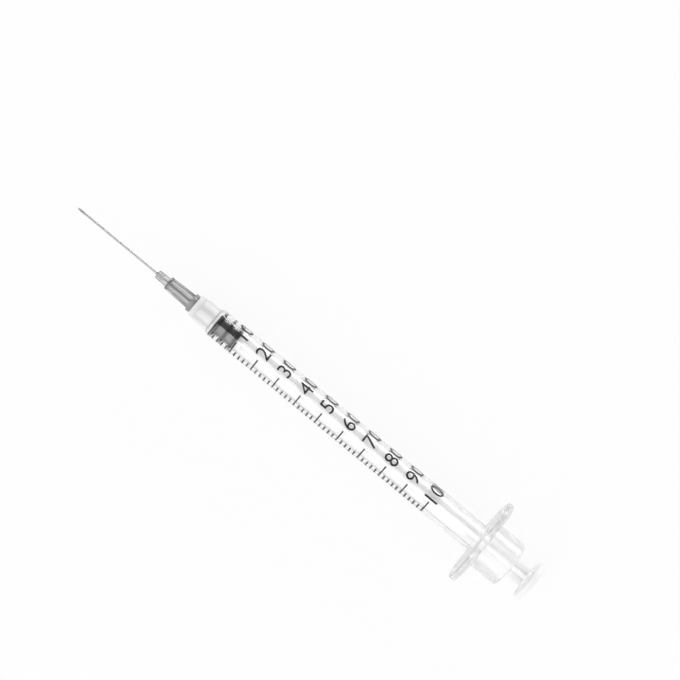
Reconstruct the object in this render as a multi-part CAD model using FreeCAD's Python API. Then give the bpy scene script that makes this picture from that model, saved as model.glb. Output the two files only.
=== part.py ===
import FreeCAD, Part
import math
import os

from FreeCAD import Placement, Rotation, Vector

# A slim one millilitre syringe with a luer lock collar, its needle fitted and its plunger home.
# The long axis is X: the needle points to -X and the thumb disc faces +X. Z is up, and the two
# finger wings reach along +Y and -Y. The origin is on the axis at the front end of the bore,
# which is also where the printed scale has its zero line. Lengths are in millimetres.

# Barrel tube
capacity = 1000.0               # one millilitre, in cubic millimetres
bore_dia = 4.70
barrel_wall = 0.80
front_wall = 0.85
shoulder_chamfer = 0.30
rear_allowance = 13.25          # barrel behind the last mark of the scale
bead_height = 0.13              # ring inside the bore that keeps the stopper in
bead_width = 0.60
bead_to_flange = 0.60

# Finger flange and the open cup behind it, which seats the rear cap of the sterile pack
flange_span = 20.0
flange_depth = 11.4
flange_thickness = 1.5
flange_chamfer = 0.35
flange_root_chamfer = 0.40      # cone where the barrel meets the flange
cup_dia = 10.45
cup_wall = 1.00
cup_depth = 7.00
cup_chamfer = 0.30

# Nose and male cone
seat_dia = 3.20
seat_length = 1.55
snap_height = 0.10
snap_width = 0.40
cone_base_dia = 2.30
cone_length = 4.40
cone_taper = 0.06               # six per cent on diameter
channel_dia = 0.90

# Luer lock collar
collar_length = 5.10
collar_ring_dia = 5.00
collar_ring_length = 0.85
collar_valley_dia = 5.00
collar_lobe_dia = 5.50
collar_lobes = 6
lobe_radius = 1.20
collar_inner_dia = 4.40
collar_back_wall = 1.45
collar_seam = 0.05
collar_rear_round = 0.20
seat_clearance = 0.02

# Lock thread: two starts, right handed
thread_lead = 3.0
thread_starts = 2
ridge_crest_dia = 3.76
ridge_root_width = 0.64
ridge_crest_width = 0.40
ridge_mouth_inset = 0.03        # ridge's edge behind the collar's mouth
lug_crest_dia = 4.24
lug_root_width = 0.60
lug_crest_width = 0.42
lug_arc = 50.0                  # degrees
lug_inset = 0.04                # lug's edge behind the socket's end
flank_clearance = 0.06
root_bite = 0.10                # how far a ridge or lug is sunk into the wall that carries it

# Needle hub
socket_outer_dia = 3.30
socket_gap = 0.25               # socket's end to the collar's back wall
cone_clearance = 0.03
socket_beyond_cone = 0.60
hub_flange_gap = 0.20           # hub's flange to the collar's mouth
hub_flange_thickness = 0.90
hub_flange_dia = 3.60
hub_ear_span = 4.20
hub_ear_width = 2.20
hub_body_length = 5.60
hub_core_rear_dia = 2.70
hub_core_front_dia = 2.30
hub_rib_rear_dia = 3.30
hub_rib_front_dia = 2.95
hub_ribs = 4
hub_rib_width = 0.50
hub_ring_dia = 3.00
hub_ring_length = 0.60
hub_nose_length = 2.90
hub_nose_rear_dia = 1.95
hub_nose_front_dia = 1.80
hub_nose_chamfer = 0.15
hub_passage_dia = 0.90

# Needle tube and the bead that bonds it
cannula_dia = 0.50
cannula_inner_dia = 0.26
cannula_exposed = 21.8
cannula_embedded = 7.00
bevel_angle = 12.0              # degrees from the tube's axis
facet_angle = 18.0              # the two side facets at the point, likewise
facet_roll = 35.0               # their turn about the axis, each way
cannula_fit = 0.02
well_dia = 1.20
well_depth = 1.50
bead_rise = 0.30
adhesive_fit = 0.02

# Stopper
stopper_gap = 0.05              # stopper's front to the end of the bore
stopper_length = 5.55
stopper_fit = 0.03              # radial, at the sealing ribs
stopper_groove_dia = 4.20
stopper_ribs = 3
stopper_rib_width = 0.95
stopper_rib_slope = 0.25
stopper_nose_thickness = 2.00
snap_head_dia = 2.60
snap_head_length = 1.40
snap_neck_dia = 1.60
snap_fit = 0.05

# Plunger rod
rod_across = 4.20
rod_web = 0.90
rod_front_disc = 1.20
rod_rear_disc = 0.80
rod_web_round = 0.20
thumb_dia = 9.25
thumb_thickness = 1.30
thumb_chamfer = 0.35
thumb_root_chamfer = 0.40       # cone where the rod meets the thumb disc
thumb_to_cup = 4.60             # clear rod between the cup's rim and the thumb disc

# How far a cutting shape runs past the face that it cuts through
overrun = 1.0

# Places along the axis that the pieces share
scale_length = capacity / (math.pi / 4 * bore_dia ** 2)
barrel_dia = bore_dia + 2 * barrel_wall
shoulder_x = -front_wall
flange_front = scale_length + rear_allowance
flange_rear = flange_front + flange_thickness
cup_rim = flange_rear + cup_depth
bead_front = flange_front - bead_to_flange - bead_width
collar_rear = shoulder_x - collar_seam
collar_mouth = collar_rear - collar_length
collar_floor = collar_rear - collar_back_wall
cone_base_x = shoulder_x - seat_length
cone_tip_x = cone_base_x - cone_length
socket_end = collar_floor - socket_gap
socket_floor = cone_tip_x - socket_beyond_cone
hub_flange_rear = collar_mouth - hub_flange_gap
hub_flange_front = hub_flange_rear - hub_flange_thickness
hub_ring_rear = hub_flange_front - hub_body_length
hub_ring_front = hub_ring_rear - hub_ring_length
hub_nose_x = hub_ring_front - hub_nose_length
needle_point = hub_nose_x - cannula_exposed
cannula_rear = hub_nose_x + cannula_embedded
well_floor = hub_nose_x + well_depth
stopper_rear = stopper_gap + stopper_length
rod_front = stopper_rear + snap_fit
thumb_front = cup_rim + thumb_to_cup
thumb_rear = thumb_front + thumb_thickness


def revolved(corners):
    """Turn a closed outline of (x, radius) corners about the X axis."""
    places = [Vector(x, radius, 0) for x, radius in corners]
    face = Part.Face(Part.makePolygon(places + [places[0]]))
    return face.revolve(Vector(0, 0, 0), Vector(1, 0, 0), 360)


def rod_along_x(x0, x1, diameter, y=0.0, z=0.0):
    return Part.makeCylinder(diameter / 2, x1 - x0, Vector(x0, y, z), Vector(1, 0, 0))


def cone_along_x(x0, x1, dia0, dia1):
    return Part.makeCone(dia0 / 2, dia1 / 2, x1 - x0, Vector(x0, 0, 0), Vector(1, 0, 0))


def block(x0, x1, y0, y1, z0, z1):
    return Part.makeBox(x1 - x0, y1 - y0, z1 - z0, Vector(x0, y0, z0))


def about_axis(shape, degrees):
    turned = shape.copy()
    turned.rotate(Vector(0, 0, 0), Vector(1, 0, 0), degrees)
    return turned


def helical_tooth(root_dia, crest_dia, root_width, crest_width, start_x, start_deg, sweep_deg):
    """A trapezoid swept along a right-handed helix about X, from start_x at start_deg."""
    height = thread_lead * sweep_deg / 360
    helix = Part.makeHelix(thread_lead, height, root_dia / 2)
    corners = [
        Vector(root_dia / 2, 0, -root_width / 2),
        Vector(root_dia / 2, 0, root_width / 2),
        Vector(crest_dia / 2, 0, crest_width / 2),
        Vector(crest_dia / 2, 0, -crest_width / 2),
    ]
    section = Part.makePolygon(corners + [corners[0]])
    sweep = Part.BRepOffsetAPI.MakePipeShell(Part.Wire(helix))
    sweep.setFrenetMode(True)
    sweep.add(section)
    sweep.build()
    sweep.makeSolid()
    tooth = sweep.shape()
    tooth.Placement = Placement(Vector(start_x, 0, 0), Rotation(Vector(1, 1, 1), 120))
    return about_axis(tooth, start_deg)


def lug_centre_x():
    """Middle of a lug along the axis, with its trailing corner just inside the socket's end."""
    return socket_end - lug_inset - lug_root_width / 2 - thread_lead * lug_arc / 720


def ridge_offset():
    """Axial distance from a lug's middle to the middle of the ridge that it pulls against."""
    # The flanks come closest at the lug's crest, where the ridge has begun to widen.
    ridge_depth = (collar_inner_dia - ridge_crest_dia) / 2
    share = (lug_crest_dia - ridge_crest_dia) / 2 / ridge_depth
    ridge_width = ridge_crest_width + share * (ridge_root_width - ridge_crest_width)
    return (ridge_width + lug_crest_width) / 2 + flank_clearance


def barrel():
    """Tube, shoulder, collar seat and male cone in one revolve; flange and cup fused behind."""
    half = barrel_dia / 2
    seat = seat_dia / 2
    cone_tip_dia = cone_base_dia - cone_taper * cone_length
    snap_middle = shoulder_x - seat_length / 2
    body = revolved([
        (cone_tip_x, 0),
        (cone_tip_x, cone_tip_dia / 2),
        (cone_base_x, cone_base_dia / 2),
        (cone_base_x, seat),
        (snap_middle - snap_width / 2, seat),
        (snap_middle, seat + snap_height),
        (snap_middle + snap_width / 2, seat),
        (shoulder_x, seat),
        (shoulder_x, half - shoulder_chamfer),
        (shoulder_x + shoulder_chamfer, half),
        (flange_front - flange_root_chamfer, half),
        (flange_front, half + flange_root_chamfer),
        (flange_rear, half + flange_root_chamfer),
        (flange_rear, 0),
    ])
    shape = body.fuse(finger_flange())
    shape = shape.fuse(rear_cup())
    shape = shape.cut(bore_space())
    shape = shape.cut(rod_along_x(cone_tip_x - overrun, overrun, channel_dia))
    return shape.removeSplitter()


def finger_flange():
    """Two wings with round ends and flats above and below, so that the syringe can't roll."""
    end_round = flange_depth / 2
    reach = flange_span / 2
    straight = reach - end_round
    x = flange_front
    top = Part.makeLine(Vector(x, -straight, end_round), Vector(x, straight, end_round))
    right = Part.Arc(Vector(x, straight, end_round), Vector(x, reach, 0),
                     Vector(x, straight, -end_round)).toShape()
    bottom = Part.makeLine(Vector(x, straight, -end_round), Vector(x, -straight, -end_round))
    left = Part.Arc(Vector(x, -straight, -end_round), Vector(x, -reach, 0),
                    Vector(x, -straight, end_round)).toShape()
    plate = Part.Face(Part.Wire([top, right, bottom, left])).extrude(Vector(flange_thickness, 0, 0))
    rims = []
    for edge in plate.Edges:
        box = edge.BoundBox
        if box.XLength < 1e-6:
            rims.append(edge)
    return plate.makeChamfer(min(flange_chamfer, flange_thickness / 3), rims)


def rear_cup():
    """Outside and inside of the open cup, from the flange to a rim with broken edges."""
    outer = cup_dia / 2
    inner = outer - cup_wall
    edge = min(cup_chamfer, cup_wall * 0.45)
    return revolved([
        (flange_front + flange_thickness / 2, inner),
        (flange_front + flange_thickness / 2, outer),
        (cup_rim - edge, outer),
        (cup_rim, outer - edge),
        (cup_rim, inner + edge),
        (cup_rim - edge, inner),
    ])


def bore_space():
    """Air in the bore, with the groove left by the ring that keeps the stopper in."""
    radius = bore_dia / 2
    bead_middle = bead_front + bead_width / 2
    return revolved([
        (0, 0),
        (0, radius),
        (bead_front, radius),
        (bead_middle, radius - bead_height),
        (bead_front + bead_width, radius),
        (flange_rear + overrun, radius),
        (flange_rear + overrun, 0),
    ])


def luer_lock_collar():
    """Lobed sleeve snapped on the nose, open to the front, with the lock thread inside."""
    ring_rear = collar_mouth + collar_ring_length
    lobe_offset = collar_lobe_dia / 2 - lobe_radius
    sleeve = rod_along_x(collar_mouth, collar_rear, collar_ring_dia)
    sleeve = sleeve.fuse(rod_along_x(ring_rear, collar_rear, collar_valley_dia))
    for index in range(collar_lobes):
        lobe = rod_along_x(ring_rear + lobe_radius, collar_rear, 2 * lobe_radius)
        dome = Part.makeSphere(lobe_radius, Vector(ring_rear + lobe_radius, 0, 0))
        lobe = lobe.fuse(dome)
        lobe.translate(Vector(0, lobe_offset, 0))
        sleeve = sleeve.fuse(about_axis(lobe, 360 / collar_lobes * index))
    envelope = revolved([
        (collar_mouth, 0),
        (collar_mouth, collar_ring_dia / 2 - collar_rear_round),
        (collar_mouth + collar_rear_round, collar_ring_dia / 2),
        (collar_mouth + 2 * collar_rear_round, collar_lobe_dia),
        (collar_rear - collar_rear_round - collar_lobe_dia / 2, collar_lobe_dia),
        (collar_rear, collar_lobe_dia / 2 - collar_rear_round),
        (collar_rear, 0),
    ])
    sleeve = sleeve.common(envelope)
    seat = seat_dia / 2 + seat_clearance
    snap_middle = shoulder_x - seat_length / 2
    groove = snap_width / 2 + seat_clearance
    cavity = revolved([
        (collar_mouth - overrun, 0),
        (collar_mouth - overrun, collar_inner_dia / 2),
        (collar_floor, collar_inner_dia / 2),
        (collar_floor, seat),
        (snap_middle - groove, seat),
        (snap_middle, seat + snap_height),
        (snap_middle + groove, seat),
        (collar_rear + overrun, seat),
        (collar_rear + overrun, 0),
    ])
    collar = sleeve.cut(cavity)
    ridge_start = collar_mouth + ridge_mouth_inset + ridge_root_width / 2
    ridge_end = lug_centre_x() - ridge_offset() + thread_lead * lug_arc / 360
    sweep = (ridge_end - ridge_start) / thread_lead * 360
    # A ridge passes a lug's middle, at 90 degrees to the ears, at ridge_offset in front of it.
    first_angle = 90 - (lug_centre_x() - ridge_offset() - ridge_start) / thread_lead * 360
    ridge = helical_tooth(collar_inner_dia + 2 * root_bite, ridge_crest_dia, ridge_root_width,
                          ridge_crest_width, ridge_start, first_angle, sweep)
    for start in range(thread_starts):
        collar = collar.fuse(about_axis(ridge, 360 / thread_starts * start))
    return collar


def needle_hub():
    """Nose, ring, ribbed body and eared flange outside the collar; socket and lugs inside it."""
    nose = hub_nose_front_dia / 2
    hub = revolved([
        (hub_nose_x, 0),
        (hub_nose_x, nose - hub_nose_chamfer),
        (hub_nose_x + hub_nose_chamfer, nose),
        (hub_ring_front, hub_nose_rear_dia / 2),
        (hub_ring_front, hub_ring_dia / 2),
        (hub_ring_rear, hub_ring_dia / 2),
        (hub_ring_rear, hub_core_front_dia / 2),
        (hub_flange_front, hub_core_rear_dia / 2),
        (hub_flange_front, hub_flange_dia / 2),
        (hub_flange_rear, hub_flange_dia / 2),
        (hub_flange_rear, socket_outer_dia / 2),
        (socket_end, socket_outer_dia / 2),
        (socket_end, 0),
    ])
    ribs = rib_blank()
    for index in range(hub_ribs):
        hub = hub.fuse(about_axis(ribs, 360 / hub_ribs * index))
    ears = block(hub_flange_front, hub_flange_rear, -hub_ear_span / 2, hub_ear_span / 2,
                 -hub_ear_width / 2, hub_ear_width / 2)
    hub = hub.fuse(ears.common(rod_along_x(hub_flange_front, hub_flange_rear, hub_ear_span)))
    lug = helical_tooth(socket_outer_dia - 2 * root_bite, lug_crest_dia, lug_root_width, lug_crest_width,
                        lug_centre_x() - thread_lead * lug_arc / 720, 90 - lug_arc / 2, lug_arc)
    for start in range(thread_starts):
        hub = hub.fuse(about_axis(lug, 360 / thread_starts * start))
    return hub.cut(hub_inside())


def rib_blank():
    """One rib of the hub's body, standing along +Y and following its taper."""
    front = Vector(hub_ring_rear - hub_ring_length / 2, 0, 0)
    rear = Vector(hub_flange_front + hub_flange_thickness / 2, 0, 0)
    corners = [
        front,
        front + Vector(0, hub_rib_front_dia / 2, 0),
        rear + Vector(0, hub_rib_rear_dia / 2, 0),
        rear,
    ]
    plate = Part.Face(Part.makePolygon(corners + [corners[0]]))
    plate.translate(Vector(0, 0, -hub_rib_width / 2))
    return plate.extrude(Vector(0, 0, hub_rib_width))


def hub_inside():
    """Air in the hub: female cone, passage, cannula hole and the well for the bead."""
    tip_dia = cone_base_dia - cone_taper * cone_length
    floor_dia = tip_dia - cone_taper * socket_beyond_cone + 2 * cone_clearance
    mouth_dia = tip_dia + cone_taper * (socket_end + overrun - cone_tip_x) + 2 * cone_clearance
    space = cone_along_x(socket_floor, socket_end + overrun, floor_dia, mouth_dia)
    space = space.fuse(rod_along_x(cannula_rear, socket_floor + root_bite, hub_passage_dia))
    hole_dia = cannula_dia + 2 * cannula_fit
    space = space.fuse(rod_along_x(hub_nose_x - overrun, cannula_rear + root_bite, hole_dia))
    return space.fuse(rod_along_x(hub_nose_x - overrun, well_floor, well_dia))


def needle_adhesive():
    """Bead in the nose's well, drawn up the tube to a point."""
    outer = well_dia / 2 - adhesive_fit
    inner = cannula_dia / 2 + adhesive_fit
    rear = well_floor - adhesive_fit
    return revolved([(rear, inner), (rear, outer), (hub_nose_x, outer), (hub_nose_x - bead_rise, inner)])


def cannula():
    """Thin tube ground to a long bevel that opens upwards, with two side facets at its point."""
    tube = rod_along_x(needle_point, cannula_rear, cannula_dia)
    tube = tube.cut(rod_along_x(needle_point - overrun, cannula_rear + overrun, cannula_inner_dia))
    for slope, roll in ((bevel_angle, 0), (facet_angle, facet_roll), (facet_angle, -facet_roll)):
        tube = tube.cut(grinding(slope, roll))
    return tube


def grinding(slope, roll):
    """What one grinding takes off: all above a plane that rises from the needle's lowest point."""
    reach = 2 * cannula_dia / math.tan(math.radians(slope))
    wheel = block(-reach, reach, -2 * cannula_dia, 2 * cannula_dia, 0, 2 * cannula_dia)
    wheel.rotate(Vector(0, 0, 0), Vector(0, 1, 0), -slope)
    wheel = about_axis(wheel, roll)
    wheel.translate(Vector(needle_point, 0, -cannula_dia / 2))
    return wheel


def stopper():
    """Rubber stopper with sloped sealing ribs and a chamber for the rod's snap head."""
    seal = bore_dia / 2 - stopper_fit
    groove = stopper_groove_dia / 2
    pitch = (stopper_length - stopper_rib_width) / (stopper_ribs - 1)
    outline = [(stopper_gap, 0)]
    for index in range(stopper_ribs):
        front = stopper_gap + pitch * index
        rear = front + stopper_rib_width
        outline.append((front, groove))
        outline.append((front + stopper_rib_slope, seal))
        outline.append((rear - stopper_rib_slope, seal))
        outline.append((rear, groove))
    outline.append((stopper_rear, 0))
    body = revolved(outline)
    head_front = stopper_gap + stopper_nose_thickness
    chamber_rear = head_front + snap_head_length + 2 * snap_fit
    chamber = rod_along_x(head_front, chamber_rear, snap_head_dia + 2 * snap_fit)
    neck = rod_along_x(chamber_rear - root_bite, stopper_rear + overrun, snap_neck_dia + 2 * snap_fit)
    return body.cut(chamber.fuse(neck))


def plunger_rod():
    """Cross-section rod with a snap head in front and the thumb disc behind."""
    head_front = stopper_gap + stopper_nose_thickness + snap_fit
    head_rear = head_front + snap_head_length
    head = revolved([
        (head_front, 0),
        (head_front, snap_neck_dia / 2),
        (head_rear - snap_head_length / 2, snap_head_dia / 2),
        (head_rear, snap_head_dia / 2),
        (head_rear, snap_neck_dia / 2),
        (rod_front, snap_neck_dia / 2),
        (rod_front, rod_across / 2),
        (rod_front + rod_front_disc, rod_across / 2),
        (rod_front + rod_front_disc, 0),
    ])
    webs = rod_web_blank()
    shape = head.fuse(webs).fuse(about_axis(webs, 90))
    half = thumb_dia / 2
    root = rod_across / 2
    shape = shape.fuse(revolved([
        (thumb_front - rod_rear_disc, 0),
        (thumb_front - rod_rear_disc, root),
        (thumb_front - thumb_root_chamfer, root),
        (thumb_front, root + thumb_root_chamfer),
        (thumb_front, half - thumb_chamfer),
        (thumb_front + thumb_chamfer, half),
        (thumb_rear - thumb_chamfer, half),
        (thumb_rear, half - thumb_chamfer),
        (thumb_rear, 0),
    ]))
    return shape.removeSplitter()


def rod_web_blank():
    """One full-width web of the cross, with its long edges rounded."""
    half = rod_across / 2
    thick = rod_web / 2
    front = rod_front + rod_front_disc / 2
    rear = thumb_front + thumb_thickness / 2
    web = block(front, rear, -half, half, -thick, thick)
    long_edges = []
    for edge in web.Edges:
        box = edge.BoundBox
        if box.XLength > rod_across:
            long_edges.append(edge)
    return web.makeFillet(min(rod_web_round, rod_web * 0.45), long_edges)


def write_part(name, shape):
    solids = shape.Solids
    solid = solids[0] if len(solids) == 1 else shape
    if not solid.isValid() or solid.Volume <= 0:
        raise ValueError(name + " is not a sound solid")
    solid.exportStep("parts/" + name + ".step")
    box = solid.BoundBox
    print(name, len(solids), "solid", round(solid.Volume, 3), "mm3",
          [round(value, 3) for value in (box.XMin, box.XMax, box.YMin, box.YMax, box.ZMin, box.ZMax)])


os.makedirs("parts", exist_ok=True)
write_part("barrel", barrel())
write_part("luer_lock_collar", luer_lock_collar())
write_part("needle_hub", needle_hub())
write_part("cannula", cannula())
write_part("needle_adhesive", needle_adhesive())
write_part("stopper", stopper())
write_part("plunger_rod", plunger_rod())

unscrew_travel = socket_end - lug_inset - collar_mouth + root_bite
print("plunger travel", round(bead_front - stopper_rear, 2))
print("needle travel", round(unscrew_travel, 3), "turn", round(unscrew_travel / thread_lead * 360, 1))
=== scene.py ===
import math
from functools import partial

import bmesh
import bpy
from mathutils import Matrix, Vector


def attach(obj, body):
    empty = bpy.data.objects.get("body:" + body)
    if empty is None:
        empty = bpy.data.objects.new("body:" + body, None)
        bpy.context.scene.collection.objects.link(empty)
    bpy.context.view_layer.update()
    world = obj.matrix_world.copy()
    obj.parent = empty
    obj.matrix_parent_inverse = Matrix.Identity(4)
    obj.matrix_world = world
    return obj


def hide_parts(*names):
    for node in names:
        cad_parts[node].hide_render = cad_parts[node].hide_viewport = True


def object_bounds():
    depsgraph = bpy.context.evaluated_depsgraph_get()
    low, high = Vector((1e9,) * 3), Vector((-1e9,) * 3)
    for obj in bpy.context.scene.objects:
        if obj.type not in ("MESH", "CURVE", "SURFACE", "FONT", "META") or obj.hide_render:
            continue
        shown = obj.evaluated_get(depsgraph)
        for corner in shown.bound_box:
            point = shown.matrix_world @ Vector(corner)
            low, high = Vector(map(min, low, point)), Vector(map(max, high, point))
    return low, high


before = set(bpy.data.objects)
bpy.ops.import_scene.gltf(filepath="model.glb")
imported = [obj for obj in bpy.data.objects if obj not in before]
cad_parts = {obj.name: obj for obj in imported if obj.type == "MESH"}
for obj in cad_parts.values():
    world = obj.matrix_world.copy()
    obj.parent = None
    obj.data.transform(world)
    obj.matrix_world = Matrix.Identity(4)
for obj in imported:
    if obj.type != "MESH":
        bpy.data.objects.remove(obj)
cad_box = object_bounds()


# Barrel: one injection moulding in clear polypropylene, polished in the mould. The tube carries
# the nose and the male cone in front, and the finger flange and the open cup for a cap behind.
MM = 0.001
CAPACITY_MM3 = 1000
BARREL_R = 3.15
BORE_R = 2.35
SCALE_LENGTH = CAPACITY_MM3 / (math.pi * BORE_R ** 2)
SHOULDER_X = -0.85
CONE_BASE_X = -2.4
CONE_TIP_X = -6.8
CONE_BASE_R = 1.15
CONE_TIP_R = 1.018
CHANNEL_R = 0.45
SEAT_R = 1.6
SNAP_X = -1.625
SNAP_HEIGHT = 0.10
SNAP_HALF_WIDTH = 0.20
FLANGE_FRONT = SCALE_LENGTH + 13.25
FLANGE_REAR = FLANGE_FRONT + 1.5
FLANGE_HALF_SPAN = 10.0
FLANGE_HALF_DEPTH = 5.7
CUP_R = 5.225
CUP_INNER_R = 4.225
CUP_RIM = FLANGE_REAR + 7.0
BEAD_MIDDLE = FLANGE_FRONT - 0.9
BEAD_HALF_WIDTH = 0.30
BEAD_HEIGHT = 0.13
SHARP_EDGE = math.radians(35)


def spread(count):
    """Equally spaced angles, one turn round."""
    return [math.tau * step / count for step in range(count)]


EVEN = spread(192)


def ring(x, radius, angles=EVEN):
    """Circle round the axis, in mm, at angles that run from +Y over the top."""
    return [(x, radius * math.cos(angle), radius * math.sin(angle)) for angle in angles]


def wing(x, half_depth):
    """The flange's outline: straight along Y between two round ends."""
    reach_y = FLANGE_HALF_SPAN - FLANGE_HALF_DEPTH
    loop = []
    for angle in EVEN:
        across = abs(math.cos(angle))
        up = abs(math.sin(angle))
        if across * half_depth <= up * reach_y:
            reach = half_depth / up
        else:
            reach = reach_y * across + math.sqrt(half_depth ** 2 - (reach_y * up) ** 2)
        loop.append((x, reach * math.cos(angle), reach * math.sin(angle)))
    return loop


def loops_of(corners, plain=ring, steps=6):
    """Loops for an outline of (along, out, rounding, drawn) corners, in mm.

    rounding is the corner's radius, and drawn turns a place on the outline into a loop: plain, a
    circle, unless the corner names another."""
    loops = []
    for place, corner in enumerate(corners):
        x, out, rounding, drawn = (*corner, *(0, plain)[len(corner) - 2:])
        if not rounding:
            loops.append(drawn(x, out))
            continue
        here = Vector((x, out))
        back = (Vector(corners[place - 1][:2]) - here).normalized()
        onward = (Vector(corners[(place + 1) % len(corners)][:2]) - here).normalized()
        half_turn = back.angle(onward) / 2
        centre = here + (back + onward).normalized() * (rounding / math.sin(half_turn))
        first = here + back * (rounding / math.tan(half_turn)) - centre
        last = here + onward * (rounding / math.tan(half_turn)) - centre
        swing = first.angle(last)
        for step in range(steps + 1):
            share = step / steps
            spoke = first * math.sin((1 - share) * swing) + last * math.sin(share * swing)
            spot = centre + spoke / math.sin(swing)
            loops.append(drawn(spot.x, spot.y))
    return loops


def new_object(name, data):
    """A new object in the scene, at the origin."""
    made = bpy.data.objects.new(name, data)
    bpy.context.scene.collection.objects.link(made)
    return made


def skin(name, loops, finish, hollow=True):
    """A closed shell through the loops; a hollow one joins its last loop to its first."""
    made = bmesh.new()
    rows = [[made.verts.new(Vector(point) * MM) for point in loop] for loop in loops]
    pairs = list(zip(rows, rows[1:]))
    if hollow:
        pairs.append((rows[-1], rows[0]))
    for near, far in pairs:
        for place in range(len(near)):
            after = (place + 1) % len(near)
            made.faces.new((near[place], near[after], far[after], far[place]))
    bmesh.ops.remove_doubles(made, verts=made.verts, dist=1e-8)
    bmesh.ops.recalc_face_normals(made, faces=made.faces)
    mesh = bpy.data.meshes.new(name)
    made.to_mesh(mesh)
    made.free()
    mesh.materials.append(finish)
    mesh.shade_smooth()
    mesh.set_sharp_from_angle(angle=SHARP_EDGE)
    obj = new_object(name, mesh)
    even = obj.modifiers.new("even_shading", "WEIGHTED_NORMAL")
    even.keep_sharp = True
    return obj


def linear(hex_colour):
    """The linear RGBA of an sRGB hex colour such as "f2f4f4"."""
    channels = [int(hex_colour[place:place + 2], 16) / 255 for place in (0, 2, 4)]
    lin = [c / 12.92 if c <= 0.04045 else ((c + 0.055) / 1.055) ** 2.4 for c in channels]
    return (*lin, 1.0)


def set_inputs(tree, node, inputs):
    """Set a node's inputs to values, or link them to sockets."""
    for name, value in inputs.items():
        if isinstance(value, bpy.types.NodeSocket):
            tree.links.new(value, node.inputs[name])
        else:
            node.inputs[name].default_value = value


def add_node(tree, kind, settings=None, inputs=None):
    """One node with its settings, and its inputs set to values or linked to sockets."""
    made = tree.nodes.new(kind)
    for name, value in (settings or {}).items():
        setattr(made, name, value)
    set_inputs(tree, made, inputs or {})
    return made


def new_material(name, shader_inputs):
    """A material with one Principled shader, its tree, that shader and its Object coordinates."""
    made = bpy.data.materials.new(name)
    made.use_nodes = True
    tree = made.node_tree
    shader = tree.nodes["Principled BSDF"]
    set_inputs(tree, shader, shader_inputs)
    coords = add_node(tree, "ShaderNodeTexCoord")
    return made, tree, shader, coords.outputs["Object"]


# A Mix node that is set to colours has them at its inputs 6 and 7, and their mix at its output 2.
COLOURS = {"data_type": "RGBA"}
MIX_A = 6
MIX_B = 7
MIXED = 2
SMOOTH = {"interpolation_type": "SMOOTHSTEP"}
MULTIPLY = {"operation": "MULTIPLY"}
MULTIPLY_ADD = {"operation": "MULTIPLY_ADD"}
MAXIMUM = {"operation": "MAXIMUM"}
PP_IOR = 1.49

# Polished clear polypropylene: glassy along the tube with a slow waviness left by the mould.
# Where the eye looks along the wall it is milkier and greyer, partly as light passes more plastic
# there and partly as painted shade for the dark bands along the wall's edges.
# The flange and the cup are thick, so cloudier and duller, and the nose is matt, as its end of the
# mould isn't polished.
clear_pp, tree, shader, spot = new_material("clear_polypropylene", {"IOR": PP_IOR})
along = add_node(tree, "ShaderNodeSeparateXYZ", inputs={"Vector": spot})
thick = add_node(tree, "ShaderNodeMapRange", SMOOTH, {
    "Value": along.outputs["X"],
    "From Min": (FLANGE_FRONT - 1.0) * MM, "From Max": (FLANGE_FRONT + 0.6) * MM})
grazing = add_node(tree, "ShaderNodeLayerWeight", inputs={"Blend": 0.5})
# Painted shade, partly haze: the wall turns greyer and less clear where the eye looks along it.
haze_and_edge_shade = add_node(tree, "ShaderNodeMapRange", SMOOTH, {
    "Value": grazing.outputs["Facing"], "From Min": 0.22, "From Max": 0.65})
through = add_node(tree, "ShaderNodeMix", COLOURS, {
    "Factor": thick.outputs["Result"], MIX_A: linear("fafafa"), MIX_B: linear("f6f6f6")})
body = add_node(tree, "ShaderNodeMix", COLOURS, {
    "Factor": haze_and_edge_shade.outputs["Result"], MIX_A: through.outputs[MIXED], MIX_B: linear("e9eaea")})
clear = add_node(tree, "ShaderNodeMapRange", inputs={
    "Value": thick.outputs["Result"], "To Min": 0.985, "To Max": 0.80})
seen_through = add_node(tree, "ShaderNodeMath", MULTIPLY_ADD, {
    0: haze_and_edge_shade.outputs["Result"], 1: -0.4, 2: clear.outputs["Result"]})
nose = add_node(tree, "ShaderNodeMapRange", SMOOTH, {
    "Value": along.outputs["X"], "From Min": 0.3 * MM, "From Max": -0.3 * MM,
    "To Min": 0.03, "To Max": 0.35})
dull = add_node(tree, "ShaderNodeMath", MULTIPLY_ADD, {
    0: thick.outputs["Result"], 1: 0.20, 2: nose.outputs["Result"]})
mist = add_node(tree, "ShaderNodeTexNoise", inputs={
    "Vector": spot, "Scale": 1 / (2.0 * MM), "Detail": 3.0})
uneven = add_node(tree, "ShaderNodeMath", MULTIPLY_ADD, {
    0: mist.outputs["Fac"], 1: 0.04, 2: dull.outputs[0]})
flow = add_node(tree, "ShaderNodeMapping", inputs={
    "Vector": spot, "Scale": (1 / (14 * MM), 1 / (2.5 * MM), 1 / (2.5 * MM))})
waves = add_node(tree, "ShaderNodeTexNoise", inputs={
    "Vector": flow.outputs["Vector"], "Scale": 1.0, "Detail": 1.0})
bump = add_node(tree, "ShaderNodeBump", inputs={
    "Strength": 0.25, "Distance": 0.02 * MM, "Height": waves.outputs["Fac"]})
set_inputs(tree, shader, {
    "Base Color": body.outputs[MIXED], "Transmission Weight": seen_through.outputs[0],
    "Roughness": uneven.outputs[0], "Normal": bump.outputs["Normal"]})

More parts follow.
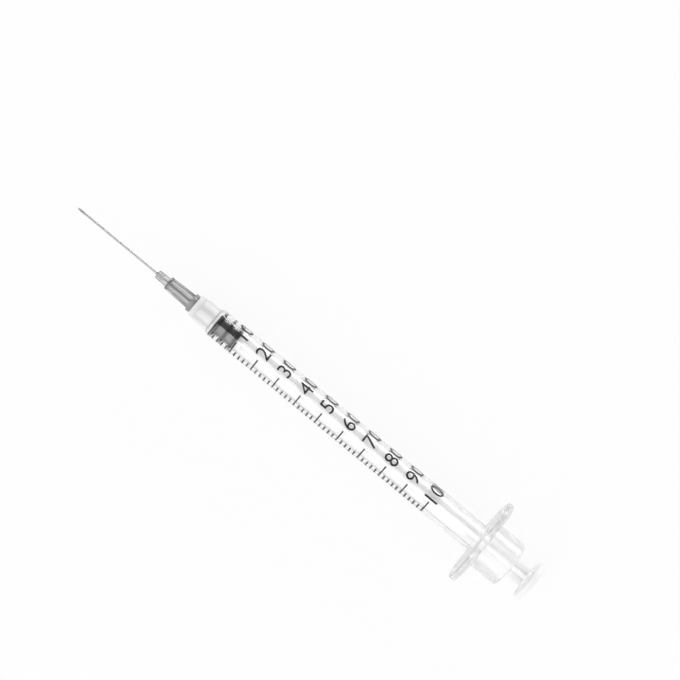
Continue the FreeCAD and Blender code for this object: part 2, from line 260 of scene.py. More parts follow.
barrel = skin("barrel_moulding", loops_of([
    (CONE_TIP_X, CHANNEL_R, 0.06),
    (CONE_TIP_X, CONE_TIP_R, 0.12),
    (CONE_BASE_X, CONE_BASE_R, 0.12),
    (CONE_BASE_X, SEAT_R, 0.10),
    (SNAP_X - SNAP_HALF_WIDTH, SEAT_R),
    (SNAP_X, SEAT_R + SNAP_HEIGHT, 0.08),
    (SNAP_X + SNAP_HALF_WIDTH, SEAT_R),
    (SHOULDER_X, SEAT_R, 0.10),
    (SHOULDER_X, BARREL_R, 0.35),
    (FLANGE_FRONT, BARREL_R, 0.40),
    (FLANGE_FRONT, FLANGE_HALF_DEPTH, 0.40, wing),
    (FLANGE_REAR, FLANGE_HALF_DEPTH, 0.35, wing),
    (FLANGE_REAR, CUP_R),
    (CUP_RIM, CUP_R, 0.42),
    (CUP_RIM, CUP_INNER_R, 0.42),
    (FLANGE_REAR, CUP_INNER_R, 0.35),
    (FLANGE_REAR, BORE_R, 0.25),
    (BEAD_MIDDLE + BEAD_HALF_WIDTH, BORE_R),
    (BEAD_MIDDLE, BORE_R - BEAD_HEIGHT, 0.25),
    (BEAD_MIDDLE - BEAD_HALF_WIDTH, BORE_R),
    (0.0, BORE_R, 0.25),
    (0.0, CHANNEL_R, 0.08),
]), clear_pp)
barrel.visible_shadow = False
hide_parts("barrel")
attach(barrel, "barrel")


# Printed scale: black ink on the barrel's outside, a hundred units in steps of two, each tenth
# unit a longer line with its number beside it. Screen printed, so it stands just proud.

# Screen-printing ink: dull black, faintly mottled by the screen's mesh.
ink, tree, shader, spot = new_material("screen_printed_ink", {"Roughness": 0.55, "IOR": 1.5})
grain = add_node(tree, "ShaderNodeTexNoise", inputs={
    "Vector": spot, "Scale": 1 / (0.15 * MM), "Detail": 3.0})
tone = add_node(tree, "ShaderNodeValToRGB", inputs={"Fac": grain.outputs["Fac"]})
tone.color_ramp.elements[0].color = linear("080808")
tone.color_ramp.elements[1].color = linear("242424")
set_inputs(tree, shader, {"Base Color": tone.outputs["Color"]})

INK_MM = 0.025
UNITS = 100
UNIT_MM = SCALE_LENGTH / UNITS
LINE_MM = 0.30
NUMBERED_STEP = 10
LINES_END = 190
ARC_STEPS = 40


def new_group(name, sockets):
    """A geometry tree with the given inputs and one output; returns it with its input sockets."""
    tree = bpy.data.node_groups.new(name, "GeometryNodeTree")
    face = tree.interface
    face.new_socket("Geometry", in_out="OUTPUT", socket_type="NodeSocketGeometry")
    for socket, kind in sockets.items():
        face.new_socket(socket, in_out="INPUT", socket_type="NodeSocket" + kind)
    return tree, add_node(tree, "NodeGroupInput").outputs


def mark_tree():
    """Geometry nodes: equally spaced arcs of ink around the barrel, in steps along the axis."""
    tree, given = new_group("scale_marks", {
        "Count": "Int", "Pitch": "Float", "First": "Float", "Line Width": "Float",
        "Radius": "Float", "Thickness": "Float", "Start Angle": "Float", "Sweep Angle": "Float",
        "Ink": "Material"})
    arc = add_node(tree, "GeometryNodeCurveArc", {"mode": "RADIUS"}, {
        "Resolution": ARC_STEPS, "Radius": given["Radius"],
        "Start Angle": given["Start Angle"], "Sweep Angle": given["Sweep Angle"]})
    section = add_node(tree, "GeometryNodeCurvePrimitiveQuadrilateral", {"mode": "RECTANGLE"}, {
        "Width": given["Thickness"], "Height": given["Line Width"]})
    strip = add_node(tree, "GeometryNodeCurveToMesh", inputs={
        "Curve": arc.outputs["Curve"], "Profile Curve": section.outputs["Curve"],
        "Fill Caps": True})
    upright = add_node(tree, "GeometryNodeTransform", inputs={
        "Geometry": strip.outputs["Mesh"], "Rotation": (math.pi / 2, 0, math.pi / 2)})
    first = add_node(tree, "ShaderNodeCombineXYZ", inputs={"X": given["First"]})
    step = add_node(tree, "ShaderNodeCombineXYZ", inputs={"X": given["Pitch"]})
    places = add_node(tree, "GeometryNodeMeshLine", {"mode": "OFFSET"}, {
        "Count": given["Count"], "Start Location": first.outputs["Vector"],
        "Offset": step.outputs["Vector"]})
    copies = add_node(tree, "GeometryNodeInstanceOnPoints", inputs={
        "Points": places.outputs["Mesh"], "Instance": upright.outputs["Geometry"]})
    real = add_node(tree, "GeometryNodeRealizeInstances", inputs={
        "Geometry": copies.outputs["Instances"]})
    inked = add_node(tree, "GeometryNodeSetMaterial", inputs={
        "Geometry": real.outputs["Geometry"], "Material": given["Ink"]})
    add_node(tree, "NodeGroupOutput", inputs={"Geometry": inked.outputs["Geometry"]})
    return tree


def evaluated_mesh(obj):
    """The object's evaluated shape as a plain mesh."""
    bpy.context.view_layer.update()
    graph = bpy.context.evaluated_depsgraph_get()
    return bpy.data.meshes.new_from_object(obj.evaluated_get(graph))


def evaluated_piece(name, node_tree, values):
    """Run a geometry tree on an empty mesh and keep its result as a plain mesh object."""
    obj = new_object(name, bpy.data.meshes.new(name))
    modifier = obj.modifiers.new("make", "NODES")
    modifier.node_group = node_tree
    for item in node_tree.interface.items_tree:
        if item.name in values:
            modifier[item.identifier] = values[item.name]
    plain = evaluated_mesh(obj)
    obj.modifiers.clear()
    obj.data = plain
    return obj


marks = mark_tree()
# Lines are placed in units, and their starts in degrees from +Y over the top, at 90, towards -Y.
for name, count, first, start in (
        ("zero_line", 1, 0, 48),
        ("tens_lines", 10, 10, 99),
        ("unit_lines_a", 10, 2, 136),
        ("unit_lines_b", 10, 4, 136),
        ("unit_lines_c", 10, 6, 136),
        ("unit_lines_d", 10, 8, 136)):
    lines = evaluated_piece(name, marks, {
        "Count": count, "Pitch": NUMBERED_STEP * UNIT_MM * MM, "First": first * UNIT_MM * MM,
        "Line Width": LINE_MM * MM, "Radius": (BARREL_R + INK_MM / 2) * MM,
        "Thickness": INK_MM * MM, "Start Angle": math.radians(start),
        "Sweep Angle": math.radians(LINES_END - start), "Ink": ink})
    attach(lines, "barrel")

DIGIT_HEIGHT_MM = 3.24
DIGIT_PITCH_MM = 2.42
FIRST_CELL = 25.0
FIRST_CELL_OF_THREE = 3.5
BEND_STEP = 2.5
BEND_CUTS = 20


def corner_rank(item):
    """A number that sets an edge or face apart, from the lowest indices of its corners."""
    lowest = sorted(vert.index for vert in item.verts)[:3]
    return sum(index / 10000 ** place for place, index in enumerate(lowest))


def wrapped_digit(made, digit, x_middle, cell_angle):
    """Add one ink digit, bent round the barrel with its top to the needle, in its own cell."""
    curve = bpy.data.curves.new("digit", "FONT")
    curve.body = digit
    curve.size = 1.0
    curve.align_x = "CENTER"
    flat = new_object("digit", curve)
    mesh = evaluated_mesh(flat)
    bpy.data.objects.remove(flat)
    glyph = bmesh.new()
    glyph.from_mesh(mesh)
    low = min(v.co.y for v in glyph.verts)
    high = max(v.co.y for v in glyph.verts)
    size = DIGIT_HEIGHT_MM / (high - low)
    bend_step = math.radians(BEND_STEP) * BARREL_R / size
    cut = -BEND_CUTS * bend_step
    while cut < BEND_CUTS * bend_step:
        bmesh.ops.bisect_plane(glyph, geom=glyph.verts[:] + glyph.edges[:] + glyph.faces[:],
                               plane_co=(cut, 0, 0), plane_no=(1, 0, 0))
        cut += bend_step
    bmesh.ops.remove_doubles(glyph, verts=glyph.verts, dist=1e-6)
    for vert in glyph.verts:
        angle = cell_angle + vert.co.x * size / BARREL_R
        x = x_middle - (vert.co.y - (low + high) / 2) * size
        vert.co = Vector((x, BARREL_R * math.sin(angle), BARREL_R * math.cos(angle))) * MM
    bmesh.ops.recalc_face_normals(glyph, faces=glyph.faces)
    grown = bmesh.ops.extrude_face_region(glyph, geom=glyph.faces[:], use_keep_orig=True)
    for item in grown["geom"]:
        if isinstance(item, bmesh.types.BMVert):
            out = Vector((0, item.co.y, item.co.z)).normalized()
            item.co += out * INK_MM * MM
    # Blender's extrude orders its edges and faces differently in each run, so they are sorted.
    glyph.verts.index_update()
    glyph.edges.sort(key=corner_rank)
    glyph.faces.sort(key=corner_rank)
    bmesh.ops.recalc_face_normals(glyph, faces=glyph.faces)
    glyph.to_mesh(mesh)
    glyph.free()
    made.from_mesh(mesh)


# Each digit stands in a cell of one pitch, counted in degrees from the top towards +Y.
for units in range(NUMBERED_STEP, UNITS + 1, NUMBERED_STEP):
    number = str(units)
    first_cell = FIRST_CELL if units < UNITS else FIRST_CELL_OF_THREE
    made = bmesh.new()
    for place, digit in enumerate(number):
        cell = math.radians(first_cell) + place * DIGIT_PITCH_MM / BARREL_R
        wrapped_digit(made, digit, units * UNIT_MM, cell)
    mesh = bpy.data.meshes.new("number_" + number)
    made.to_mesh(mesh)
    made.free()
    mesh.materials.append(ink)
    printed = new_object("number_" + number, mesh)
    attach(printed, "barrel")


# Lock collar: a separate sleeve in milky polypropylene, snapped on the nose behind the cone. Six
# low lobes give it grip, and a two-start thread is moulded inside for the needle's lugs.
COLLAR_MOUTH = -6.0
COLLAR_REAR = -0.9
COLLAR_FLOOR = -2.35
COLLAR_RING_R = 2.5
COLLAR_RING_LENGTH = 0.85
COLLAR_LOBE_R = 2.75
COLLAR_LOBES = 6
LOBE_TURN = math.radians(15)
LOBE_OWN_R = 1.2
LOBE_BLEND = 0.08
COLLAR_INNER_R = 2.2
COLLAR_SEAT_R = 1.62
SNAP_GROOVE_DEPTH = 0.08
LEAD = 3.0


def axis_distance(tree, spot):
    """How far a place on the surface is from the syringe's axis."""
    across = add_node(tree, "ShaderNodeVectorMath", MULTIPLY, {0: spot, 1: (0, 1, 1)})
    reach = add_node(tree, "ShaderNodeVectorMath", {"operation": "LENGTH"}, {
        0: across.outputs["Vector"]})
    return reach.outputs["Value"]


# Milky polypropylene: white and soft inside, and greyer between the lobes, a painted shade in the
# valleys that spares the mouth ring. A spark-eroded mould leaves grain of 0.05 mm; it is drawn
# three times as coarse so that it shows.
milky_pp, tree, shader, spot = new_material("milky_polypropylene", {
    "IOR": PP_IOR, "Transmission Weight": 0.1, "Roughness": 0.42,
    "Subsurface Weight": 1.0, "Subsurface Radius": (1.0, 1.0, 1.0), "Subsurface Scale": 0.6 * MM})
grit = add_node(tree, "ShaderNodeTexNoise", inputs={
    "Vector": spot, "Scale": 1 / (0.15 * MM), "Detail": 2.0})
bump = add_node(tree, "ShaderNodeBump", inputs={
    "Strength": 0.12, "Distance": 0.02 * MM, "Height": grit.outputs["Fac"]})
cloud = add_node(tree, "ShaderNodeTexNoise", inputs={
    "Vector": spot, "Scale": 1 / (1.5 * MM), "Detail": 2.0})
lobe_tone = add_node(tree, "ShaderNodeValToRGB", inputs={"Fac": cloud.outputs["Fac"]})
lobe_tone.color_ramp.elements[0].color = linear("eeeeee")
lobe_tone.color_ramp.elements[1].color = linear("f5f5f5")
# Painted shade: the valleys between the lobes take a darker grey, except on the mouth ring.
unshaded_lobe_share = add_node(tree, "ShaderNodeMapRange", SMOOTH, {
    "Value": axis_distance(tree, spot),
    "From Min": COLLAR_RING_R * MM, "From Max": (COLLAR_RING_R + LOBE_BLEND) * MM})
along = add_node(tree, "ShaderNodeSeparateXYZ", inputs={"Vector": spot})
mouth_ring = add_node(tree, "ShaderNodeMapRange", SMOOTH, {
    "Value": along.outputs["X"],
    "From Min": (COLLAR_MOUTH + 1.4) * MM, "From Max": (COLLAR_MOUTH + 0.5) * MM})
unshaded_share = add_node(tree, "ShaderNodeMath", MAXIMUM, {
    0: unshaded_lobe_share.outputs["Result"], 1: mouth_ring.outputs["Result"]})
tone = add_node(tree, "ShaderNodeMix", COLOURS, {
    "Factor": unshaded_share.outputs[0], MIX_A: linear("e4e4e4"), MIX_B: lobe_tone.outputs["Color"]})
set_inputs(tree, shader, {"Base Color": tone.outputs[MIXED], "Normal": bump.outputs["Normal"]})


def lobed(x, out):
    """Round lobes over the collar's ring, domed towards the mouth.

    All of it is drawn in by COLLAR_LOBE_R - out, which rounds the rear edge."""
    offset = COLLAR_LOBE_R - LOBE_OWN_R
    in_dome = min(max(x - (COLLAR_MOUTH + COLLAR_RING_LENGTH), 0), LOBE_OWN_R)
    lobe_r = math.sqrt(LOBE_OWN_R ** 2 - (LOBE_OWN_R - in_dome) ** 2)
    loop = []
    for angle in EVEN:
        near = ((angle + LOBE_TURN) * COLLAR_LOBES / math.tau + 0.5) % 1 - 0.5
        near *= math.tau / COLLAR_LOBES
        inside = lobe_r ** 2 - (offset * math.sin(near)) ** 2
        lobe = offset * math.cos(near) + math.sqrt(inside) if inside > 0 else 0
        valley = max(LOBE_BLEND - abs(lobe - COLLAR_RING_R), 0) ** 2 / (4 * LOBE_BLEND)
        reach = max(lobe, COLLAR_RING_R) + valley * (COLLAR_LOBE_R - COLLAR_RING_R)
        reach -= COLLAR_LOBE_R - out
        loop.append((x, reach * math.cos(angle), reach * math.sin(angle)))
    return loop


dome = []
for degrees in range(55, 91, 5):
    x = COLLAR_MOUTH + COLLAR_RING_LENGTH + LOBE_OWN_R * (1 - math.cos(math.radians(degrees)))
    dome.append((x, COLLAR_LOBE_R, 0, lobed))
collar = skin("collar_moulding", loops_of([
    (COLLAR_MOUTH, COLLAR_INNER_R, 0.08),
    (COLLAR_MOUTH, COLLAR_RING_R, 0.18),
    (COLLAR_MOUTH + COLLAR_RING_LENGTH, COLLAR_RING_R),
    *dome,
    (COLLAR_REAR, COLLAR_LOBE_R, 0.2, lobed),
    (COLLAR_REAR, COLLAR_SEAT_R, 0.08),
    (SNAP_X + SNAP_HALF_WIDTH, COLLAR_SEAT_R),
    (SNAP_X, COLLAR_SEAT_R + SNAP_GROOVE_DEPTH),
    (SNAP_X - SNAP_HALF_WIDTH, COLLAR_SEAT_R),
    (COLLAR_FLOOR, COLLAR_SEAT_R, 0.05),
    (COLLAR_FLOOR, COLLAR_INNER_R, 0.15),
]), milky_pp)
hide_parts("luer_lock_collar")
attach(collar, "barrel")

RIDGE_CREST_R = 1.88
RIDGE_TURNS = 283 / 360
RIDGE_CREST_WIDTH = 0.40
RIDGE_ROOT_WIDTH = 0.64
RIDGE_START_X = -5.65
RIDGE_START = -143.1
HELIX_STEPS = 72


def thread_tree():
    """Geometry nodes: equal starts of a trapezoid ridge on a right-handed helix about X."""
    tree, given = new_group("lock_thread", {
        "Starts": "Int", "Turns": "Float", "Rise": "Float", "Middle Radius": "Float",
        "Height": "Float", "Inner Width": "Float", "Outer Width": "Float", "Start X": "Float",
        "Start Angle": "Float", "Finish": "Material"})
    helix = add_node(tree, "GeometryNodeCurveSpiral", inputs={
        "Resolution": HELIX_STEPS, "Rotations": given["Turns"], "Height": given["Rise"],
        "Start Radius": given["Middle Radius"], "End Radius": given["Middle Radius"]})
    level = add_node(tree, "GeometryNodeSetCurveNormal", {"mode": "Z_UP"}, {
        "Curve": helix.outputs["Curve"]})
    section = add_node(tree, "GeometryNodeCurvePrimitiveQuadrilateral", {"mode": "TRAPEZOID"}, {
        "Height": given["Height"], "Bottom Width": given["Inner Width"],
        "Top Width": given["Outer Width"], "Offset": 0.0})
    turned = add_node(tree, "GeometryNodeTransform", inputs={
        "Geometry": section.outputs["Curve"], "Rotation": (0, 0, -math.pi / 2)})
    ridge = add_node(tree, "GeometryNodeCurveToMesh", inputs={
        "Curve": level.outputs["Curve"], "Profile Curve": turned.outputs["Geometry"],
        "Fill Caps": True})
    spots = add_node(tree, "GeometryNodePoints", inputs={"Count": given["Starts"]})
    number = add_node(tree, "GeometryNodeInputIndex")
    share = add_node(tree, "ShaderNodeMath", {"operation": "DIVIDE"}, {
        0: number.outputs["Index"], 1: given["Starts"]})
    angle = add_node(tree, "ShaderNodeMath", MULTIPLY_ADD, {
        0: share.outputs[0], 1: math.tau, 2: given["Start Angle"]})
    spin = add_node(tree, "ShaderNodeCombineXYZ", inputs={"Z": angle.outputs[0]})
    copies = add_node(tree, "GeometryNodeInstanceOnPoints", inputs={
        "Points": spots.outputs["Points"], "Instance": ridge.outputs["Mesh"],
        "Rotation": spin.outputs["Vector"]})
    real = add_node(tree, "GeometryNodeRealizeInstances", inputs={
        "Geometry": copies.outputs["Instances"]})
    # The helix is made about Z; this turns Z to X, X to Y and Y to Z.
    tilt = add_node(tree, "FunctionNodeAxisAngleToRotation", inputs={
        "Axis": (1, 1, 1), "Angle": math.tau / 3})
    place = add_node(tree, "ShaderNodeCombineXYZ", inputs={"X": given["Start X"]})
    laid = add_node(tree, "GeometryNodeTransform", inputs={
        "Geometry": real.outputs["Geometry"], "Translation": place.outputs["Vector"],
        "Rotation": tilt.outputs["Rotation"]})
    finished = add_node(tree, "GeometryNodeSetMaterial", inputs={
        "Geometry": laid.outputs["Geometry"], "Material": given["Finish"]})
    add_node(tree, "NodeGroupOutput", inputs={"Geometry": finished.outputs["Geometry"]})
    return tree


thread = thread_tree()
ridges = evaluated_piece("collar_thread", thread, {
    "Starts": 2, "Turns": RIDGE_TURNS, "Rise": LEAD * RIDGE_TURNS * MM,
    "Middle Radius": (COLLAR_INNER_R + RIDGE_CREST_R) / 2 * MM,
    "Height": (COLLAR_INNER_R - RIDGE_CREST_R) * MM,
    "Inner Width": RIDGE_CREST_WIDTH * MM, "Outer Width": RIDGE_ROOT_WIDTH * MM,
    "Start X": RIDGE_START_X * MM, "Start Angle": math.radians(RIDGE_START), "Finish": milky_pp})
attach(ridges, "barrel")


# Stopper: black moulded rubber, pushed over the rod's snap head. Three sealing ribs press on the
# bore, and a film of silicone oil lets them slide.
STOPPER_FRONT = 0.05
STOPPER_REAR = 5.6
STOPPER_GROOVE_R = 2.1
STOPPER_SEAL_R = 2.352
RIB_WIDTH = 0.95
RIB_SLOPE = 0.14
RIB_PITCH = 2.3
RIB_ROUND = 0.12
REAR_ROUND = 0.08
CAVITY_MOUTH_R = 0.85
CAVITY_R = 1.35
CAVITY_STEP = 3.55
CAVITY_END = 2.05

# Siliconed rubber: black with a faint bloom, shiny in the grooves and without gloss on the ribs,
# where it is wetted against the bore.
rubber, tree, shader, spot = new_material("siliconed_rubber", {
    "IOR": 1.5, "Specular IOR Level": 0.25, "Coat Roughness": 0.12, "Coat IOR": 1.45})
groove = add_node(tree, "ShaderNodeMapRange", SMOOTH, {
    "Value": axis_distance(tree, spot), "From Min": 2.34 * MM, "From Max": 2.22 * MM})
film = add_node(tree, "ShaderNodeMath", MULTIPLY, {0: groove.outputs["Result"], 1: 0.9})
fleck = add_node(tree, "ShaderNodeTexNoise", inputs={
    "Vector": spot, "Scale": 1 / (0.4 * MM), "Detail": 4.0})
tone = add_node(tree, "ShaderNodeValToRGB", inputs={"Fac": fleck.outputs["Fac"]})
tone.color_ramp.elements[0].color = linear("0b0b0b")
tone.color_ramp.elements[1].color = linear("151515")
matt = add_node(tree, "ShaderNodeMapRange", inputs={
    "Value": fleck.outputs["Fac"], "To Min": 0.40, "To Max": 0.50})
set_inputs(tree, shader, {
    "Coat Weight": film.outputs[0], "Base Color": tone.outputs["Color"],
    "Roughness": matt.outputs["Result"]})

outline = [(STOPPER_FRONT, 0), (STOPPER_FRONT, STOPPER_GROOVE_R, 0.10)]
for front in (STOPPER_FRONT, STOPPER_FRONT + RIB_PITCH, STOPPER_FRONT + 2 * RIB_PITCH):
    behind = front + RIB_WIDTH
    if front > STOPPER_FRONT:
        outline.append((front, STOPPER_GROOVE_R, RIB_ROUND))
    outline.append((front + RIB_SLOPE, STOPPER_SEAL_R, RIB_ROUND))
    outline.append((behind - RIB_SLOPE, STOPPER_SEAL_R, RIB_ROUND))
    outline.append((behind, STOPPER_GROOVE_R, RIB_ROUND if behind < STOPPER_REAR else REAR_ROUND))
outline += [
    (STOPPER_REAR, CAVITY_MOUTH_R, 0.10),
    (CAVITY_STEP, CAVITY_MOUTH_R),
    (CAVITY_STEP, CAVITY_R),
    (CAVITY_END, CAVITY_R, 0.2),
    (CAVITY_END, 0),
]
stopper = skin("rubber_stopper", loops_of(outline), rubber, hollow=False)
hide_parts("stopper")
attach(stopper, "stopper")


# Plunger rod: natural polypropylene, one moulding with a snap head and a disc in front, four webs
# in a cross along its length, and the thumb disc behind.
HEAD_TIP = 2.1
HEAD_SLOPE_END = 2.8
HEAD_REAR = 3.5
SNAP_HEAD_R = 1.3
SNAP_NECK_R = 0.8
ROD_FRONT = 5.65
ROD_FRONT_DISC = 6.85
ROD_R = 2.1
WEB_HALF = 0.45
WEB_EDGE = 0.20
WEB_ROOT = 0.20
WEB_EASE = 0.10
WEB_SIDE_STEPS = 7
THUMB_FRONT = CUP_RIM + 4.6
THUMB_REAR = THUMB_FRONT + 1.3
THUMB_R = 4.625
ROD_REAR_DISC = THUMB_FRONT - 0.8

# Natural polypropylene: light spreads far inside the thin webs, so they look evenly white. The
# webs are painted greyer towards the axis, a painted shade in the corners between them, and the
# thumb disc is thicker and shows the plastic's own grey. Flow marks of the moulding run along it
# and show faintly in its gloss.
natural_pp, tree, shader, spot = new_material("natural_polypropylene", {
    "IOR": PP_IOR,
    "Subsurface Weight": 1.0, "Subsurface Radius": (1.0, 1.0, 1.0), "Subsurface Scale": 3.0 * MM})
flow = add_node(tree, "ShaderNodeMapping", inputs={
    "Vector": spot, "Scale": (1 / (9 * MM), 1 / (1.5 * MM), 1 / (1.5 * MM))})
streak = add_node(tree, "ShaderNodeTexNoise", inputs={
    "Vector": flow.outputs["Vector"], "Scale": 1.0, "Detail": 3.0})
# Painted shade: the webs darken towards the axis, in the corners between them.
core_shade_fade = add_node(tree, "ShaderNodeMapRange", SMOOTH, {
    "Value": axis_distance(tree, spot), "From Min": 0.5 * MM, "From Max": 1.4 * MM})
web_tone_and_core_shade = add_node(tree, "ShaderNodeMix", COLOURS, {
    "Factor": core_shade_fade.outputs["Result"], MIX_A: linear("e2e2e2"), MIX_B: linear("efefef")})
disc_tone = add_node(tree, "ShaderNodeValToRGB", inputs={"Fac": streak.outputs["Fac"]})
disc_tone.color_ramp.elements[0].color = linear("e6e6e6")
disc_tone.color_ramp.elements[1].color = linear("ededed")
along = add_node(tree, "ShaderNodeSeparateXYZ", inputs={"Vector": spot})
thick = add_node(tree, "ShaderNodeMapRange", SMOOTH, {
    "Value": along.outputs["X"], "From Min": ROD_REAR_DISC * MM, "From Max": THUMB_FRONT * MM})
tone = add_node(tree, "ShaderNodeMix", COLOURS, {
    "Factor": thick.outputs["Result"], MIX_A: web_tone_and_core_shade.outputs[MIXED],
    MIX_B: disc_tone.outputs["Color"]})
gloss = add_node(tree, "ShaderNodeMapRange", inputs={
    "Value": streak.outputs["Fac"], "To Min": 0.26, "To Max": 0.34})
bump = add_node(tree, "ShaderNodeBump", inputs={
    "Strength": 0.1, "Distance": 0.03 * MM, "Height": streak.outputs["Fac"]})
set_inputs(tree, shader, {
    "Base Color": tone.outputs[MIXED], "Roughness": gloss.outputs["Result"],
    "Normal": bump.outputs["Normal"]})


def four_fold(x, eighth):
    """Loop of four equal ribs, from one eighth as (out, across) from a rib's middle line."""
    quarter = [(out, -across) for out, across in reversed(eighth[1:])] + eighth[:-1]
    loop = []
    for cos, sin in ((1, 0), (0, 1), (-1, 0), (0, -1)):
        for out, across in quarter:
            loop.append((x, out * cos - across * sin, out * sin + across * cos))
    return loop


def cross(x, reach):
    """Section of the rod: two crossed webs with eased edges and a small fillet between them."""
    eighth = [(reach, 0), (reach, WEB_HALF * 0.3)]
    for degrees in range(0, 91, 18):
        turn = math.radians(degrees)
        out = reach - WEB_EDGE + WEB_EDGE * math.cos(turn)
        across = WEB_HALF - WEB_EDGE + WEB_EDGE * math.sin(turn)
        trim = min(1, reach / math.hypot(out, across))
        eighth.append((out * trim, across * trim))
    root = WEB_HALF + WEB_ROOT
    for step in range(1, WEB_SIDE_STEPS):
        out = reach - WEB_EDGE + (root - reach + WEB_EDGE) * step / WEB_SIDE_STEPS
        eighth.append((out, WEB_HALF))
    for degrees in range(0, 46, 15):
        turn = math.radians(degrees)
        eighth.append((root - WEB_ROOT * math.sin(turn), root - WEB_ROOT * math.cos(turn)))
    return four_fold(x, eighth)


CROSS_ANGLES = [math.atan2(z, y) for x, y, z in cross(0, ROD_R)]

rod = skin("plunger_moulding", loops_of([
    (HEAD_TIP, 0),
    (HEAD_TIP, SNAP_NECK_R, 0.10),
    (HEAD_SLOPE_END, SNAP_HEAD_R, 0.15),
    (HEAD_REAR, SNAP_HEAD_R, 0.08),
    (HEAD_REAR, SNAP_NECK_R, 0.08),
    (ROD_FRONT, SNAP_NECK_R, 0.10),
    (ROD_FRONT, ROD_R, 0.12),
    (ROD_FRONT_DISC, ROD_R, 0.08),
    (ROD_FRONT_DISC, ROD_R - WEB_EASE, 0, cross),
    (ROD_FRONT_DISC + WEB_EASE, ROD_R, 0, cross),
    (ROD_REAR_DISC, ROD_R, 0, cross),
    (ROD_REAR_DISC, ROD_R, 0),
    (THUMB_FRONT, ROD_R, 0.30),
    (THUMB_FRONT, THUMB_R, 0.45),
    (THUMB_REAR, THUMB_R, 0.45),
    (THUMB_REAR, 0),
], partial(ring, angles=CROSS_ANGLES)), natural_pp, hollow=False)
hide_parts("plunger_rod")
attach(rod, "plunger_rod")


# Needle hub: one moulding in grey translucent polypropylene. Four ribs on a tapered core, a ring,
# a nose for the needle, an eared flange, and behind it the socket with two lock lugs.
HUB_NOSE_X = -16.2
HUB_NOSE_TIP_R = 0.95
HUB_NOSE_ROOT_R = 1.04
HUB_RING_FRONT = -13.3
HUB_RING_REAR = -12.7
HUB_RING_R = 1.5
HUB_BODY_R = 1.3
HUB_FLANGE_FRONT = -7.1
HUB_FLANGE_REAR = -6.2
HUB_FLANGE_R = 1.8
HUB_EAR_REACH = 2.1
HUB_EAR_HALF = 1.1
EAR_SPREAD = 0.4
WELL_R = 0.6
WELL_FLOOR = -14.7
NEEDLE_HOLE_R = 0.27
NEEDLE_REAR = -9.2
PASSAGE_R = 0.45
SOCKET_R = 1.65
SOCKET_END = -2.6
SOCKET_MOUTH_R = 1.174
SOCKET_FLOOR = -7.4
SOCKET_FLOOR_R = 1.03
CORE_R = 1.15
CORE_GAIN = 0.20
RIB_TIP_R = 1.475
RIB_TIP_GAIN = 0.175
RIB_HALF = 0.25
RIB_EASE = 0.08
LUG_CREST_R = 2.12
LUG_TURNS = 50 / 360
LUG_ROOT_WIDTH = 0.60
LUG_CREST_WIDTH = 0.42
LUG_MIDDLE_X = -3.148
LUG_START = 65

# Grey translucent polypropylene: light passes the thin core, which is painted darker along its
# edges where the eye looks along it, partly for the plastic light passes there and partly as
# painted shade. The ribs and the ring show the pigment, which lies in faint streaks along the
# moulding, and the flange is a lighter grey, its pigment painted lighter against the collar's
# shade on it.
grey_pp, tree, shader, spot = new_material("grey_translucent_polypropylene", {"IOR": PP_IOR})
rib_share = add_node(tree, "ShaderNodeMapRange", SMOOTH, {
    "Value": axis_distance(tree, spot), "From Min": 1.36 * MM, "From Max": 1.46 * MM})
flow = add_node(tree, "ShaderNodeMapping", inputs={
    "Vector": spot, "Scale": (1 / (3 * MM), 1 / (0.6 * MM), 1 / (0.6 * MM))})
streak = add_node(tree, "ShaderNodeTexNoise", inputs={
    "Vector": flow.outputs["Vector"], "Scale": 1.0, "Detail": 3.0})
core_tone = add_node(tree, "ShaderNodeValToRGB", inputs={"Fac": streak.outputs["Fac"]})
core_tone.color_ramp.elements[0].color = linear("e4e4e4")
core_tone.color_ramp.elements[1].color = linear("eeeeee")
rib_tone = add_node(tree, "ShaderNodeValToRGB", inputs={"Fac": streak.outputs["Fac"]})
rib_tone.color_ramp.elements[0].color = linear("7e7e7e")
rib_tone.color_ramp.elements[1].color = linear("969696")
along = add_node(tree, "ShaderNodeSeparateXYZ", inputs={"Vector": spot})
# Painted light: the flange takes a lighter grey than the ribs, a lift against the collar's shade
# on it.
flange_lift_share = add_node(tree, "ShaderNodeMapRange", SMOOTH, {
    "Value": along.outputs["X"],
    "From Min": (HUB_FLANGE_FRONT - 0.3) * MM, "From Max": HUB_FLANGE_FRONT * MM})
rib_or_lifted_flange = add_node(tree, "ShaderNodeMix", COLOURS, {
    "Factor": flange_lift_share.outputs["Result"], MIX_A: rib_tone.outputs["Color"],
    MIX_B: linear("b0b0b0")})
# Painted shade, partly the longer path through the plastic: the core greys where the eye looks
# along it.
grazing = add_node(tree, "ShaderNodeLayerWeight", inputs={"Blend": 0.5})
edge = add_node(tree, "ShaderNodeMapRange", SMOOTH, {
    "Value": grazing.outputs["Facing"], "From Min": 0.20, "From Max": 0.70, "To Max": 0.9})
core_and_edge_shade = add_node(tree, "ShaderNodeMix", COLOURS, {
    "Factor": edge.outputs["Result"], MIX_A: core_tone.outputs["Color"],
    MIX_B: linear("7c7c7c")})
tone = add_node(tree, "ShaderNodeMix", COLOURS, {
    "Factor": rib_share.outputs["Result"], MIX_A: core_and_edge_shade.outputs[MIXED],
    MIX_B: rib_or_lifted_flange.outputs[MIXED]})
passing = add_node(tree, "ShaderNodeMapRange", inputs={
    "Value": rib_share.outputs["Result"], "To Min": 0.70, "To Max": 0.50})
gloss = add_node(tree, "ShaderNodeMapRange", inputs={
    "Value": streak.outputs["Fac"], "To Min": 0.14, "To Max": 0.28})
set_inputs(tree, shader, {
    "Base Color": tone.outputs[MIXED], "Transmission Weight": passing.outputs["Result"],
    "Roughness": gloss.outputs["Result"]})


